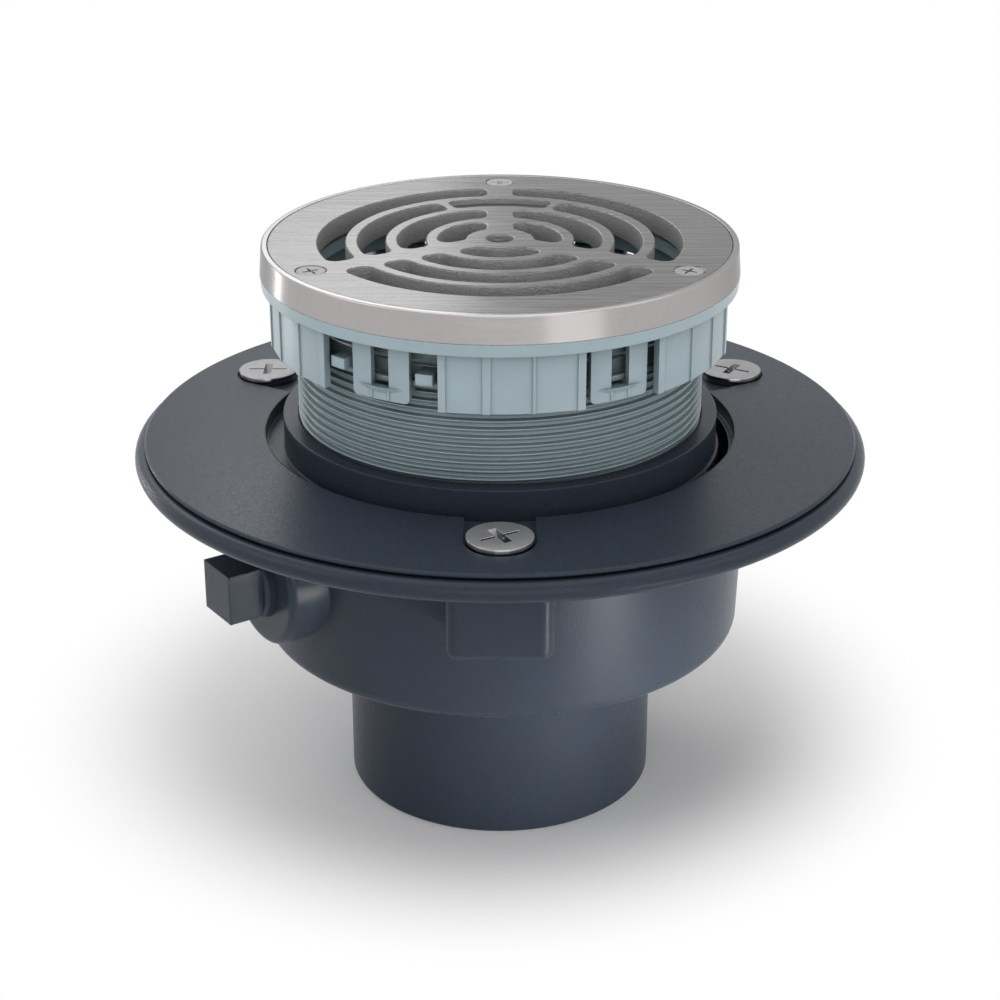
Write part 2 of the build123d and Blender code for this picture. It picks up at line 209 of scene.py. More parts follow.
class ScrewSizes(bpy.types.PropertyGroup):
    """Sizes of the screws."""

    clamp_head_radius: FloatProperty(
        name="Clamp head radius",
        description="Radius of a clamp screw's head",
        default=0.0084,
        unit="LENGTH",
    )
    clamp_head_height: FloatProperty(
        name="Clamp head height",
        description="Height of a clamp screw's head",
        default=0.0025,
        unit="LENGTH",
    )
    clamp_shank_radius: FloatProperty(
        name="Clamp shank radius",
        description="Radius of a clamp screw's shank",
        default=0.0039,
        unit="LENGTH",
    )
    grate_head_radius: FloatProperty(
        name="Grate head radius",
        description="Radius of a grate screw's countersunk head",
        default=0.0038,
        unit="LENGTH",
    )
    grate_head_height: FloatProperty(
        name="Grate head height",
        description="Height of a grate screw's countersunk head",
        default=0.0021,
        unit="LENGTH",
    )
    grate_shank_radius: FloatProperty(
        name="Grate shank radius",
        description="Radius of a grate screw's shank",
        default=0.002,
        unit="LENGTH",
    )


class FinishColours(bpy.types.PropertyGroup):
    """Base colours of the finishes."""

    casting: FloatVectorProperty(
        name="Coated casting",
        description="Dark blue-grey coating on the castings",
        subtype="COLOR",
        size=3,
        min=0,
        max=1,
        default=(0.0425, 0.0565, 0.079),
    )
    plastic: FloatVectorProperty(
        name="Moulded plastic",
        description="Pale blue-grey plastic of the shank and the strainer head",
        subtype="COLOR",
        size=3,
        min=0,
        max=1,
        default=(0.385, 0.496, 0.541),
    )
    nickel: FloatVectorProperty(
        name="Satin nickel",
        description="Metal of the frame ring",
        subtype="COLOR",
        size=3,
        min=0,
        max=1,
        default=(0.40, 0.388, 0.382),
    )
    grate: FloatVectorProperty(
        name="Brushed grate",
        description="Metal of the grate",
        subtype="COLOR",
        size=3,
        min=0,
        max=1,
        default=(0.126, 0.1247, 0.1233),
    )
    screw: FloatVectorProperty(
        name="Plated screws",
        description="Bright plating of the screws",
        subtype="COLOR",
        size=3,
        min=0,
        max=1,
        default=(0.29, 0.29, 0.295),
    )
    brass: FloatVectorProperty(
        name="Brass",
        description="Threaded inserts in the strainer head",
        subtype="COLOR",
        size=3,
        min=0,
        max=1,
        default=(0.60, 0.44, 0.20),
    )


class StageSettings(bpy.types.PropertyGroup):
    """Camera, lamps and background."""

    lens: FloatProperty(
        name="Lens",
        description="Focal length for a 36 mm wide sensor, in millimetres",
        default=79.93,
    )
    camera_height: FloatProperty(
        name="Camera height",
        description="Height of the camera above the floor",
        default=0.32826,
        unit="LENGTH",
    )
    camera_distance: FloatProperty(
        name="Camera distance",
        description="Level distance from the drain's axis to the camera",
        default=0.56432,
        unit="LENGTH",
    )
    camera_pitch: FloatProperty(
        name="Camera pitch",
        description="How far the camera looks down",
        default=math.radians(23.671),
        subtype="ANGLE",
    )
    ambient: FloatProperty(
        name="Ambient light",
        description="Strength of the world's light on matt surfaces",
        default=0.36,
    )
    lamp_power: FloatProperty(
        name="Lamp power",
        description="Factor on the power of every lamp",
        default=1.0,
        subtype="FACTOR",
    )


def deselect_all():
    """Leaves edit mode and clears the selection."""
    if bpy.context.object and bpy.context.object.mode != "OBJECT":
        bpy.ops.object.mode_set(mode="OBJECT")
    bpy.ops.object.select_all(action="DESELECT")


def activate(piece):
    """Makes one piece the only selected and active one."""
    deselect_all()
    piece.select_set(True)
    bpy.context.view_layer.objects.active = piece


def apply_place(piece):
    """Puts the piece's place into its mesh, so its object sits at the origin."""
    activate(piece)
    bpy.ops.object.transform_apply(location=True, rotation=True, scale=True)


def apply_modifier(piece, kind, **settings):
    """Adds a modifier with its settings and applies it."""
    activate(piece)
    bpy.ops.object.modifier_add(type=kind)
    modifier = piece.modifiers[-1]
    for key, value in settings.items():
        setattr(modifier, key, value)
    bpy.ops.object.modifier_apply(modifier=modifier.name)


def draw_profile(name, points):
    """Draws an open line of (radius, height) points in the XZ plane by extruding one vertex."""
    deselect_all()
    bpy.ops.mesh.primitive_plane_add(size=0.001, location=(0, 0, 0))
    piece = bpy.context.object
    piece.name = name
    bpy.ops.object.mode_set(mode="EDIT")
    bpy.ops.mesh.select_mode(type="VERT")
    bpy.ops.mesh.select_all(action="SELECT")
    bpy.ops.mesh.merge(type="CENTER")
    start = points[0]
    bpy.ops.transform.translate(value=(start[0], 0, start[1]))
    for before, after in zip(points, points[1:]):
        step = (after[0] - before[0], 0, after[1] - before[1])
        bpy.ops.mesh.extrude_region_move(TRANSFORM_OT_translate={"value": step})
    bpy.ops.object.mode_set(mode="OBJECT")
    return piece


def cut_flat(piece, height, keep_above):
    """Cuts a piece level at a height, drops the far side and closes the cut."""
    activate(piece)
    bpy.ops.object.mode_set(mode="EDIT")
    bpy.ops.mesh.select_all(action="SELECT")
    bpy.ops.mesh.bisect(
        plane_co=(0, 0, height),
        plane_no=(0, 0, 1),
        use_fill=True,
        clear_inner=keep_above,
        clear_outer=not keep_above,
        threshold=1e-7,
    )
    bpy.ops.object.mode_set(mode="OBJECT")


def turn_outwards(piece):
    """Merges doubles and points the faces outwards."""
    activate(piece)
    bpy.ops.object.mode_set(mode="EDIT")
    bpy.ops.mesh.select_all(action="SELECT")
    bpy.ops.mesh.remove_doubles(threshold=1e-7)
    bpy.ops.mesh.normals_make_consistent(inside=False)
    bpy.ops.object.mode_set(mode="OBJECT")


def add_disc(name, radius, low, high, segments, bevel=0.0):
    """Adds an upright cylinder between two heights, with its rims bevelled."""
    deselect_all()
    bpy.ops.mesh.primitive_cylinder_add(
        vertices=segments,
        radius=radius,
        depth=high - low,
        location=(0, 0, (low + high) / 2),
    )
    piece = bpy.context.object
    piece.name = name
    apply_place(piece)
    if bevel:
        apply_modifier(piece, "BEVEL", width=bevel, segments=2, limit_method="ANGLE")
    return piece


def combine(piece, other, operation):
    """Joins or cuts two closed pieces and removes the second one."""
    apply_modifier(piece, "BOOLEAN", object=other, operation=operation, solver="EXACT")
    bpy.data.objects.remove(other)


def shade(piece, angle):
    """Smooths a piece below an angle between its faces."""
    activate(piece)
    bpy.ops.object.shade_smooth_by_angle(angle=math.radians(angle))


def set_material(piece, name):
    """Gives a piece one of the finishes as its only material."""
    material = bpy.data.materials[name]
    if piece.material_slots:
        for place in piece.material_slots:
            place.material = material
    else:
        piece.data.materials.append(material)


# Shader nodes


def add_node(tree, kind, **settings):
    """Adds a node and sets its properties, then its inputs by name or number."""
    node = tree.nodes.new(kind)
    inputs = settings.pop("inputs", {})
    for key, value in settings.items():
        setattr(node, key, value)
    for key, value in inputs.items():
        node.inputs[key].default_value = value
    return node


def add_ramp(tree, stops):
    """Adds a colour ramp with grey or colour stops."""
    ramp = tree.nodes.new("ShaderNodeValToRGB")
    elements = ramp.color_ramp.elements
    while len(elements) < len(stops):
        elements.new(0.5)
    for element, (position, value) in zip(elements, stops):
        element.position = position
        if isinstance(value, (int, float)):
            value = (value, value, value)
        element.color = (*value, 1)
    return ramp


def group_with(name, inputs, outputs):
    """Makes a node group with named sockets: (kind, name, default) in, (kind, name) out."""
    tree = bpy.data.node_groups.new(name, "ShaderNodeTree")
    for kind, label, default in inputs:
        socket = tree.interface.new_socket(label, in_out="INPUT", socket_type=kind)
        if default is not None:
            socket.default_value = default
    for kind, label in outputs:
        tree.interface.new_socket(label, in_out="OUTPUT", socket_type=kind)
    entry = tree.nodes.new("NodeGroupInput")
    leave = tree.nodes.new("NodeGroupOutput")
    return tree, entry, leave


def make_mottle_group():
    """Patches of two sizes, laid over each other, as a mask and a fine height."""
    tree, entry, leave = group_with(
        "Mottle",
        (
            ("NodeSocketFloat", "Patch scale", 40.0),
            ("NodeSocketFloat", "Grain scale", 900.0),
            ("NodeSocketFloat", "Contrast", 0.5),
        ),
        (("NodeSocketFloat", "Mask"), ("NodeSocketFloat", "Height")),
    )
    link = tree.links.new
    place = add_node(tree, "ShaderNodeTexCoord")
    patch = add_node(
        tree,
        "ShaderNodeTexNoise",
        inputs={"Detail": 5.0, "Roughness": 0.62, "Distortion": 0.6},
    )
    grain = add_node(tree, "ShaderNodeTexNoise", inputs={"Detail": 3.0, "Roughness": 0.55})
    link(place.outputs["Object"], patch.inputs["Vector"])
    link(place.outputs["Object"], grain.inputs["Vector"])
    link(entry.outputs["Patch scale"], patch.inputs["Scale"])
    link(entry.outputs["Grain scale"], grain.inputs["Scale"])
    centred = add_node(tree, "ShaderNodeMath", operation="SUBTRACT", inputs={1: 0.5})
    link(patch.outputs["Fac"], centred.inputs[0])
    spread = add_node(
        tree, "ShaderNodeMath", operation="MULTIPLY_ADD", use_clamp=True, inputs={2: 0.5}
    )
    doubled = add_node(tree, "ShaderNodeMath", operation="MULTIPLY", inputs={1: 5.0})
    link(entry.outputs["Contrast"], doubled.inputs[0])
    link(centred.outputs[0], spread.inputs[0])
    link(doubled.outputs[0], spread.inputs[1])
    link(spread.outputs[0], leave.inputs["Mask"])
    link(grain.outputs["Fac"], leave.inputs["Height"])
    return tree


def make_edge_group():
    """Mask of the sharp edges, from how far a rounded normal leans off the true one."""
    tree, entry, leave = group_with(
        "Edges",
        (("NodeSocketFloat", "Width", 0.0004), ("NodeSocketFloat", "Gain", 3.0)),
        (("NodeSocketFloat", "Mask"), ("NodeSocketVector", "Normal")),
    )
    link = tree.links.new
    rounded = add_node(tree, "ShaderNodeBevel", samples=6)
    link(entry.outputs["Width"], rounded.inputs["Radius"])
    surface = add_node(tree, "ShaderNodeNewGeometry")
    lean = add_node(tree, "ShaderNodeVectorMath", operation="DOT_PRODUCT")
    link(rounded.outputs["Normal"], lean.inputs[0])
    link(surface.outputs["Normal"], lean.inputs[1])
    away = add_node(tree, "ShaderNodeMath", operation="SUBTRACT", inputs={0: 1.0})
    link(lean.outputs["Value"], away.inputs[1])
    mask = add_node(tree, "ShaderNodeMath", operation="MULTIPLY", use_clamp=True)
    link(away.outputs[0], mask.inputs[0])
    link(entry.outputs["Gain"], mask.inputs[1])
    link(mask.outputs[0], leave.inputs["Mask"])
    link(rounded.outputs["Normal"], leave.inputs["Normal"])
    return tree


def make_brush_group():
    """Fine straight brush lines along X, as a mask."""
    tree, entry, leave = group_with(
        "Brushed lines",
        (("NodeSocketFloat", "Fineness", 1400.0), ("NodeSocketFloat", "Length", 35.0)),
        (("NodeSocketFloat", "Mask"),),
    )
    link = tree.links.new
    place = add_node(tree, "ShaderNodeTexCoord")
    stretch = add_node(tree, "ShaderNodeVectorMath", operation="MULTIPLY")
    scale = add_node(tree, "ShaderNodeCombineXYZ")
    link(entry.outputs["Length"], scale.inputs["X"])
    link(entry.outputs["Fineness"], scale.inputs["Y"])
    link(entry.outputs["Fineness"], scale.inputs["Z"])
    link(place.outputs["Object"], stretch.inputs[0])
    link(scale.outputs[0], stretch.inputs[1])
    lines = add_node(
        tree,
        "ShaderNodeTexNoise",
        inputs={"Scale": 1.0, "Detail": 4.0, "Roughness": 0.7},
    )
    link(stretch.outputs[0], lines.inputs["Vector"])
    sharpen = add_node(
        tree,
        "ShaderNodeMapRange",
        inputs={"From Min": 0.3, "From Max": 0.7, "To Min": 0.0, "To Max": 1.0},
    )
    link(lines.outputs["Fac"], sharpen.inputs["Value"])
    link(sharpen.outputs[0], leave.inputs["Mask"])
    return tree


def make_painted_shade_group():
    """Mask of the sheltered places, valleys, corners and undersides, where shade is painted into
    the colour.
    """
    tree, entry, leave = group_with(
        "Painted shade mask",
        (("NodeSocketFloat", "Reach", 0.01), ("NodeSocketFloat", "Strength", 1.0)),
        (("NodeSocketFloat", "Mask"),),
    )
    link = tree.links.new
    hidden = add_node(tree, "ShaderNodeAmbientOcclusion", samples=8)
    link(entry.outputs["Reach"], hidden.inputs["Distance"])
    closed = add_node(tree, "ShaderNodeMath", operation="SUBTRACT", inputs={0: 1.0})
    link(hidden.outputs["AO"], closed.inputs[1])
    mask = add_node(tree, "ShaderNodeMath", operation="MULTIPLY", use_clamp=True)
    link(closed.outputs[0], mask.inputs[0])
    link(entry.outputs["Strength"], mask.inputs[1])
    link(mask.outputs[0], leave.inputs["Mask"])
    return tree


def start_material(name):
    """Makes a node material and returns its tree and its shader."""
    material = bpy.data.materials.new(name)
    material.use_nodes = True
    tree = material.node_tree
    return tree, tree.nodes["Principled BSDF"]


def place_group(tree, name, inputs):
    """Places a shared node group with this material's own values."""
    node = tree.nodes.new("ShaderNodeGroup")
    node.node_tree = bpy.data.node_groups[name]
    for key, value in inputs.items():
        node.inputs[key].default_value = value
    return node


def pick_socket(sockets, name, kind):
    """Finds a Mix node's socket by its name and kind."""
    return [socket for socket in sockets if socket.name == name and socket.type == kind][0]


def mix_colours(tree, factor, low, high):
    """Mixes two colours by a mask; a colour may be a socket or three numbers."""
    node = add_node(tree, "ShaderNodeMix", data_type="RGBA")
    tree.links.new(factor, pick_socket(node.inputs, "Factor", "VALUE"))
    for name, value in (("A", low), ("B", high)):
        place = pick_socket(node.inputs, name, "RGBA")
        if isinstance(value, bpy.types.NodeSocket):
            tree.links.new(value, place)
        else:
            place.default_value = (*value, 1)
    return pick_socket(node.outputs, "Result", "RGBA")


def mix_normals(tree, factor, low, high):
    """Mixes two normals by a mask."""
    node = add_node(tree, "ShaderNodeMix", data_type="VECTOR")
    tree.links.new(factor, pick_socket(node.inputs, "Factor", "VALUE"))
    tree.links.new(low, pick_socket(node.inputs, "A", "VECTOR"))
    tree.links.new(high, pick_socket(node.inputs, "B", "VECTOR"))
    return pick_socket(node.outputs, "Result", "VECTOR")


def mix_value(tree, factor, low, high):
    """Mixes a number and a value by a mask."""
    node = add_node(tree, "ShaderNodeMix", data_type="FLOAT")
    tree.links.new(factor, pick_socket(node.inputs, "Factor", "VALUE"))
    pick_socket(node.inputs, "A", "VALUE").default_value = low
    tree.links.new(high, pick_socket(node.inputs, "B", "VALUE"))
    return pick_socket(node.outputs, "Result", "VALUE")


def scaled(colour, factor):
    """Scales a colour."""
    return tuple(min(1.0, channel * factor) for channel in colour)


def tinted(colour, tint):
    """Multiplies a colour by another."""
    return tuple(a * b for a, b in zip(colour, tint))


def add_bump(tree, height, normal, strength, distance):
    """Adds a bump from a height, over a given normal, and returns the bumped normal."""
    bump = add_node(tree, "ShaderNodeBump", inputs={"Strength": strength, "Distance": distance})
    tree.links.new(height, bump.inputs["Height"])
    if normal:
        tree.links.new(normal, bump.inputs["Normal"])
    return bump.outputs["Normal"]


def map_mask(tree, mask, low, high):
    """Maps a 0 to 1 mask onto a range."""
    node = add_node(tree, "ShaderNodeMapRange", inputs={"To Min": low, "To Max": high})
    tree.links.new(mask, node.inputs["Value"])
    return node.outputs[0]


def level_mask(tree):
    """Mask of the faces that look up."""
    surface = add_node(tree, "ShaderNodeNewGeometry")
    split = add_node(tree, "ShaderNodeSeparateXYZ")
    tree.links.new(surface.outputs["Normal"], split.inputs[0])
    mask = add_node(tree, "ShaderNodeMapRange", inputs={"From Min": 0.2, "From Max": 0.75})
    tree.links.new(split.outputs["Z"], mask.inputs["Value"])
    return mask.outputs[0]


def level_above_mask(tree, height):
    """Mask of the faces that look up and lie above a height."""
    place = add_node(tree, "ShaderNodeTexCoord")
    split = add_node(tree, "ShaderNodeSeparateXYZ")
    tree.links.new(place.outputs["Object"], split.inputs[0])
    above = add_node(tree, "ShaderNodeMath", operation="GREATER_THAN", inputs={1: height})
    tree.links.new(split.outputs["Z"], above.inputs[0])
    both = add_node(tree, "ShaderNodeMath", operation="MULTIPLY")
    tree.links.new(level_mask(tree), both.inputs[0])
    tree.links.new(above.outputs[0], both.inputs[1])
    return both.outputs[0]


def make_casting(colour):
    """Coated casting: blue patches on dark grey, soft gloss, faint sand grain."""
    tree, shader = start_material("coated_casting_finish")
    link = tree.links.new
    mottle = place_group(
        tree, "Mottle", {"Patch scale": 90.0, "Grain scale": 1900.0, "Contrast": 0.5}
    )
    edges = place_group(tree, "Edges", {"Width": 0.0007, "Gain": 2.5})
    grain = mottle.outputs["Height"]
    grey = tinted(colour, (0.95, 0.88, 0.82))
    blue = tinted(colour, (1.0, 1.1, 1.22))
    patches = mix_colours(tree, mottle.outputs["Mask"], grey, blue)
    speck = map_mask(tree, grain, low=-0.9, high=1.3)
    speckled = mix_colours(tree, speck, scaled(colour, 0.6), patches)
    # Painted highlight: the sharp edges are painted up to 2.2 times lighter, standing in for light
    # caught on the rims
    edge_highlight_share = map_mask(tree, edges.outputs["Mask"], low=0.0, high=0.4)
    with_edge_highlight = mix_colours(tree, edge_highlight_share, speckled, scaled(colour, 2.2))
    link(with_edge_highlight, shader.inputs["Base Color"])
    link(map_mask(tree, grain, low=0.56, high=0.08), shader.inputs["Roughness"])
    sand = add_bump(tree, grain, edges.outputs["Normal"], strength=0.16, distance=0.0003)
    link(sand, shader.inputs["Normal"])
    shader.inputs["Specular IOR Level"].default_value = 0.15


def make_plastic(name, colour, painted_shade_reach):
    """Moulded plastic: faint flow clouds, painted shade in valleys, corners and undersides, painted
    highlights on the edges, soft sheen.
    """
    tree, shader = start_material(name)
    link = tree.links.new
    mottle = place_group(
        tree, "Mottle", {"Patch scale": 70.0, "Grain scale": 2200.0, "Contrast": 0.35}
    )
    edges = place_group(tree, "Edges", {"Width": 0.0003, "Gain": 6.0})
    painted_shade = place_group(tree, "Painted shade mask", {"Reach": painted_shade_reach, "Strength": 1.35})
    grain = mottle.outputs["Height"]
    clouds = mix_colours(tree, mottle.outputs["Mask"], scaled(colour, 0.93), scaled(colour, 1.06))
    # Painted shade: sheltered valleys, corners and undersides are painted down to about a quarter
    # of the colour
    shaded = mix_colours(tree, painted_shade.outputs["Mask"], clouds, scaled(colour, 0.26))
    # Painted highlight: the sharp edges, such as the thread's crests and the ribs, are painted 1.4
    # times lighter
    edge_highlight_share = map_mask(tree, edges.outputs["Mask"], low=0.0, high=0.8)
    with_edge_highlight = mix_colours(tree, edge_highlight_share, shaded, scaled(colour, 1.4))
    link(with_edge_highlight, shader.inputs["Base Color"])
    link(map_mask(tree, grain, low=0.24, high=0.34), shader.inputs["Roughness"])
    shader.inputs["Specular IOR Level"].default_value = 0.5
    dimple = add_bump(tree, grain, edges.outputs["Normal"], strength=0.08, distance=0.0002)
    link(dimple, shader.inputs["Normal"])


def make_nickel(name, colour, gloss, streaks, grazing, rough_below=None):
    """Satin nickel: straight brush lines and painted highlights on the edges, and rough cast faces
    below a height, painted lighter on their walls and darker on their level faces.
    """
    tree, shader = start_material(name)
    link = tree.links.new
    lines = place_group(tree, "Brushed lines", {})
    edges = place_group(tree, "Edges", {"Width": 0.0004, "Gain": 3.0})
    mottle = place_group(
        tree, "Mottle", {"Patch scale": 30.0, "Grain scale": 1800.0, "Contrast": 0.4}
    )
    line = lines.outputs["Mask"]
    grain = mottle.outputs["Height"]
    brushed = mix_colours(tree, line, scaled(colour, 1 - streaks), scaled(colour, 1 + streaks))
    cloud = map_mask(tree, mottle.outputs["Mask"], low=0.0, high=0.3)
    cloudy = mix_colours(tree, cloud, brushed, scaled(colour, 0.85))
    # Painted highlight: the sharp edges are painted 1.5 times lighter
    edge_highlight_share = map_mask(tree, edges.outputs["Mask"], low=0.0, high=0.3)
    face = mix_colours(tree, edge_highlight_share, cloudy, scaled(colour, 1.5))
    roughness = map_mask(tree, line, low=gloss[0], high=gloss[1])
    normal = add_bump(tree, line, edges.outputs["Normal"], strength=streaks * 0.2, distance=0.0001)
    if rough_below:
        brushed_face = level_above_mask(tree, rough_below)
        # Painted light and shade by face direction: below the top, walls get the grain at 2.1 to
        # 3.6 times the colour and level faces are painted darker at 0.75 times
        lit_wall_grain = mix_colours(tree, grain, scaled(colour, 2.1), scaled(colour, 3.6))
        cast = mix_colours(tree, level_mask(tree), lit_wall_grain, scaled(colour, 0.75))
        grit = add_bump(tree, grain, None, strength=0.5, distance=0.0004)
        face = mix_colours(tree, brushed_face, cast, face)
        normal = mix_normals(tree, brushed_face, grit, normal)
        roughness = mix_value(tree, brushed_face, 0.6, roughness)
    link(face, shader.inputs["Base Color"])
    link(roughness, shader.inputs["Roughness"])
    link(normal, shader.inputs["Normal"])
    shader.inputs["Metallic"].default_value = 1.0
    shader.inputs["Specular Tint"].default_value = (grazing, grazing, grazing, 1)


def make_plain_metal(name, colour, level_roughness, side_roughness):
    """Plated or machined metal: dull level faces, polished sides, fine handling marks."""
    tree, shader = start_material(name)
    link = tree.links.new
    mottle = place_group(
        tree, "Mottle", {"Patch scale": 160.0, "Grain scale": 2600.0, "Contrast": 0.4}
    )
    edges = place_group(tree, "Edges", {"Width": 0.0003, "Gain": 2.5})
    clouds = mix_colours(tree, mottle.outputs["Mask"], scaled(colour, 0.9), scaled(colour, 1.1))
    # Painted highlight: the sharp edges are painted 1.7 times lighter
    edge_highlight_share = map_mask(tree, edges.outputs["Mask"], low=0.0, high=0.6)
    with_edge_highlight = mix_colours(tree, edge_highlight_share, clouds, scaled(colour, 1.7))
    link(with_edge_highlight, shader.inputs["Base Color"])
    roughness = map_mask(tree, level_mask(tree), low=side_roughness, high=level_roughness)
    link(roughness, shader.inputs["Roughness"])
    shader.inputs["Metallic"].default_value = 1.0
    marks = add_bump(
        tree, mottle.outputs["Height"], edges.outputs["Normal"], strength=0.06, distance=0.0001
    )
    link(marks, shader.inputs["Normal"])


class FLOORDRAIN_OT_finishes(bpy.types.Operator):
    """Makes the finishes and lays them on the solids that keep their shape"""

    bl_idname = "floordrain.finishes"
    bl_label = "Finishes"

    def execute(self, context):
        colours = context.scene.drain_colours
        make_mottle_group()
        make_edge_group()
        make_brush_group()
        make_painted_shade_group()
        make_casting(colours.casting)
        make_plastic("moulded_plastic_finish", colours.plastic, painted_shade_reach=0.009)
        make_nickel(
            "satin_nickel_finish", colours.nickel, gloss=(0.19, 0.23), streaks=0.03, grazing=0.6
        )
        make_nickel(
            "grate_finish",
            colours.grate,
            gloss=(0.22, 0.36),
            streaks=0.8,
            grazing=1.0,
            rough_below=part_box("strainer_grate")[1].z - ROUGH_BELOW,
        )
        make_plain_metal(
            "plated_screw_finish", colours.screw, level_roughness=0.62, side_roughness=0.14
        )
        make_plain_metal(
            "insert_brass_finish", colours.brass, level_roughness=0.3, side_roughness=0.25
        )
        for row in frame["record"]["subparts"]:
            node = frame["nodes"][row["node"]]
            set_material(node, row["material_slot"] + "_finish")
        set_material(frame["nodes"]["strainer_grate"], "grate_finish")
        return {"FINISHED"}


class FLOORDRAIN_OT_shank(bpy.types.Operator):
    """Cuts the shank's thread, with the ledge and the lugs above it"""

    bl_idname = "floordrain.shank"
    bl_label = "Threaded shank"

    def execute(self, context):
        sizes = context.scene.drain_shank
        low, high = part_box("threaded_shank")
        crest = sizes.crest_radius
        root = crest - sizes.thread_depth
        pitch = sizes.pitch
        start = low.z - 1.5 * pitch
        turns = math.ceil((sizes.ledge_bottom - start) / pitch) + 2
        rise, top, end, fall = (start + share * pitch for share in THREAD_FLANKS)
        profile = (
            (root, start),
            (root, rise),
            (crest, top),
            (crest, end),
            (root, fall),
            (root, start + pitch),
        )
        shank = draw_profile("shank_with_thread", profile)
        apply_modifier(
            shank,
            "SCREW",
            axis="Z",
            angle=math.tau,
            screw_offset=pitch,
            iterations=turns,
            steps=sizes.segments,
            render_steps=sizes.segments,
            use_merge_vertices=True,
            merge_threshold=1e-7,
        )
        turn_outwards(shank)
        cut_flat(shank, low.z, True)
        ledge_bottom = sizes.ledge_bottom
        ledge_top = ledge_bottom + sizes.ledge_thickness
        segments = sizes.segments
        cut_flat(shank, ledge_bottom + THREAD_INTO_LEDGE, False)
        turn_outwards(shank)
        ledge = add_disc("ledge", sizes.ledge_radius, ledge_bottom, ledge_top, segments, LEDGE_EDGE)
        combine(shank, ledge, "UNION")
        wall_foot = ledge_bottom + WALL_INTO_LEDGE
        wall = add_disc("wall", crest, wall_foot, high.z, segments, WALL_EDGE)
        combine(shank, wall, "UNION")
        for centre in OPENING_CENTRES:
            for side in (-1, 1):
                azimuth = math.radians(centre) + side * sizes.lug_offset
                lug = self.add_lug(sizes, azimuth, ledge_top)
                combine(shank, lug, "UNION")
        bore = add_disc("bore", sizes.bore_radius, low.z - MM, high.z + MM, segments)
        combine(shank, bore, "DIFFERENCE")
        turn_outwards(shank)
        shade(shank, 25)
        set_material(shank, "moulded_plastic_finish")
        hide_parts("threaded_shank")
        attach(shank, "head")
        return {"FINISHED"}

    def add_lug(self, sizes, azimuth, base):
        """Adds one bevelled lug, turned to its azimuth."""
        inner = sizes.crest_radius - MM
        length = sizes.lug_reach - inner
        middle = (sizes.lug_reach + inner) / 2
        height = base + sizes.lug_lift + sizes.lug_height / 2
        deselect_all()
        bpy.ops.mesh.primitive_cube_add(
            size=1,
            location=(middle * math.cos(azimuth), middle * math.sin(azimuth), height),
            rotation=(0, 0, azimuth),
            scale=(length, sizes.lug_width, sizes.lug_height),
        )
        lug = bpy.context.object
        apply_place(lug)
        apply_modifier(lug, "BEVEL", width=LUG_EDGE, segments=2, limit_method="ANGLE")
        return lug


def add_block(name, size, foot_share):
    """Adds a block centred on the origin, with a foot narrower than its top, to cut a recess."""
    deselect_all()
    half = math.sqrt(0.5)
    bpy.ops.mesh.primitive_cone_add(
        vertices=4,
        radius1=half * foot_share,
        radius2=half * (2 - foot_share),
        depth=1,
        rotation=(0, 0, math.pi / 4),
    )
    block = bpy.context.object
    block.name = name
    apply_place(block)
    block.scale = size
    apply_place(block)
    return block


def cut_recess(screw, slot, wing):
    """Cuts a slot along X and a deeper wing along Y into a head whose top is at z = 0."""
    slot_length, slot_width, slot_depth = slot
    wing_length, wing_width, wing_depth = wing
    slot_block = add_block("slot", (slot_length, slot_width, 2 * slot_depth), SLOT_FOOT)
    combine(screw, slot_block, "DIFFERENCE")
    wing_block = add_block("wing", (wing_width, wing_length, 2 * wing_depth), WING_FOOT)
    combine(screw, wing_block, "DIFFERENCE")


def place_copies(master, stem, turns):
    """Copies a screw modelled at the origin onto its nodes, each turned about its own axis."""
    for side, turn in turns.items():
        node = stem + side
        low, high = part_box(node)
        activate(master)
        bpy.ops.object.duplicate(linked=False)
        piece = bpy.context.object
        piece.name = node + "_detail"
        piece.rotation_euler = (0, 0, math.radians(turn))
        piece.location = ((low.x + high.x) / 2, (low.y + high.y) / 2, high.z)
        apply_place(piece)
        set_material(piece, "plated_screw_finish")
        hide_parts(node)
        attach(piece, "head" if node.startswith("grate") else "body")
    bpy.data.objects.remove(master)


class FLOORDRAIN_OT_clamp_screws(bpy.types.Operator):
    """Models the clamp screws with a slot and a wing across it"""

    bl_idname = "floordrain.clamp_screws"
    bl_label = "Clamp screws"

    def execute(self, context):
        low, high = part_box("clamp_screw_front")
        length = high.z - low.z
        sizes = context.scene.drain_screws
        head_foot = -sizes.clamp_head_height
        head = add_disc("clamp_head", sizes.clamp_head_radius, head_foot, 0, 96, CLAMP_HEAD_EDGE)
        shank_top = -0.5 * MM
        shank = add_disc(
            "clamp_shank", sizes.clamp_shank_radius, -length, shank_top, 48, CLAMP_TIP_EDGE
        )
        combine(head, shank, "UNION")
        cut_recess(head, CLAMP_SLOT, CLAMP_WING)
        turn_outwards(head)
        shade(head, 30)
        place_copies(head, "clamp_screw_", CLAMP_SCREW_TURNS)
        return {"FINISHED"}


